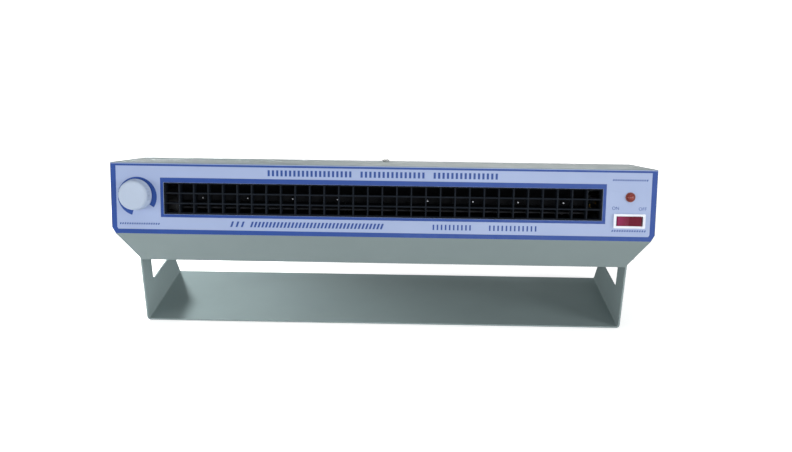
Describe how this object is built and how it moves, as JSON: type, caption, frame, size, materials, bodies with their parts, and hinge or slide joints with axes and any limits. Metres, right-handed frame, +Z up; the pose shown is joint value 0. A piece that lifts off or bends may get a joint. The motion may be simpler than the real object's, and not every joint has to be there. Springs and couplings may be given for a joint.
{
  "type": "ionizing blower",
  "caption": "Long sheet-metal ionizing blower with a cross-flow fan behind an egg-crate outlet grille, a speed knob, lamp and rocker switch, tilting in a U-shaped bench stand.",
  "frame": {"origin": "on the bench, under the middle of the stand's base plate", "axes": "+X to the right seen from the front panel, along the casing's length; +Y to the rear; +Z up"},
  "size_m": [0.604, 0.1586, 0.1946],
  "materials": {
    "casing_paint": "satin",
    "stand_paint": "satin",
    "printed_overlay": "satin",
    "grille_black": "satin",
    "knurled_steel": "satin",
    "plated_steel": "satin",
    "washer_fibre": "matte",
    "filter_foam": "matte",
    "air_path_sheet": "matte",
    "impeller_alloy": "satin",
    "rubber_black": "matte",
    "moulded_black": "satin",
    "bronze": "satin",
    "motor_can": "satin",
    "rail_insulator": "satin",
    "emitter_metal": "polished",
    "potting_black": "gloss",
    "board_green": "satin",
    "board_components": "satin",
    "knob_white": "satin",
    "lamp_red": "gloss",
    "chromed_ring": "gloss",
    "rocker_red": "gloss",
    "bezel_white": "satin"
  },
  "bodies": {
    "stand": {"stand_bracket": "stand_paint"},
    "casing": {"tilt_washers": "washer_fibre", "clamp_nuts": "plated_steel", "front_panel": "casing_paint", "panel_overlay": "printed_overlay", "top_cover": "casing_paint", "chassis_tray": "casing_paint", "cover_screws": "plated_steel", "outlet_grille": "grille_black", "intake_grille": "grille_black", "intake_screws": "plated_steel", "filter_mat": "filter_foam", "air_scroll": "air_path_sheet", "air_tongue": "air_path_sheet", "end_plate_left": "air_path_sheet", "end_plate_right": "air_path_sheet", "bearing_block": "moulded_black", "bearing_bush": "bronze", "fan_motor": "motor_can", "motor_grommets": "rubber_black", "motor_screws": "plated_steel", "emitter_rail": "rail_insulator", "emitter_pins": "emitter_metal", "ground_rod": "plated_steel", "hv_transformer": "potting_black", "control_board": "board_green", "board_parts": "board_components", "board_pillars": "bronze", "pot_body": "moulded_black", "pot_nut": "plated_steel", "lamp_lens": "lamp_red", "lamp_holder": "chromed_ring", "switch_body": "bezel_white", "switch_terminals": "bronze", "power_inlet": "moulded_black", "inlet_pins": "bronze", "fuse_holder": "moulded_black", "fuse_cap": "moulded_black", "ground_stud": "bronze", "ground_nut": "bronze"},
    "impeller": {"impeller": "impeller_alloy", "impeller_shaft": "plated_steel", "shaft_coupler": "rubber_black"},
    "speed_knob": {"speed_knob": "knob_white", "pot_shaft": "plated_steel"},
    "rocker": {"rocker_button": "rocker_red"},
    "tilt_knob_left": {"tilt_knob_left": "knurled_steel"},
    "tilt_knob_right": {"tilt_knob_right": "knurled_steel"}
  },
  "joints": [
    {"name": "casing_tilt", "type": "hinge", "parent": "stand", "child": "casing", "pos_m": [0, -0.0515, 0.0917], "axis": [-1, 0, 0], "range_deg": [-10, 31]},
    {"name": "impeller_spin", "type": "hinge", "parent": "casing", "child": "impeller", "pos_m": [0, -0.01406, 0.12251], "axis": [1, 0, 0], "continuous": true},
    {"name": "speed_turn", "type": "hinge", "parent": "casing", "child": "speed_knob", "pos_m": [-0.2715, -0.07466, 0.16041], "axis": [0, 0.9699, -0.2436], "range_deg": [-150, 150]},
    {"name": "rocker_tip", "type": "hinge", "parent": "casing", "child": "rocker", "pos_m": [0.271, -0.07672, 0.13907], "axis": [0, 0.2436, 0.9699], "range_deg": [0, 16]},
    {"name": "tilt_clamp_left", "type": "hinge", "parent": "casing", "child": "tilt_knob_left", "pos_m": [-0.279, -0.0515, 0.0917], "axis": [-1, 0, 0], "range_deg": [0, 180]},
    {"name": "tilt_clamp_right", "type": "hinge", "parent": "casing", "child": "tilt_knob_right", "pos_m": [0.279, -0.0515, 0.0917], "axis": [1, 0, 0], "range_deg": [0, 180]}
  ]
}
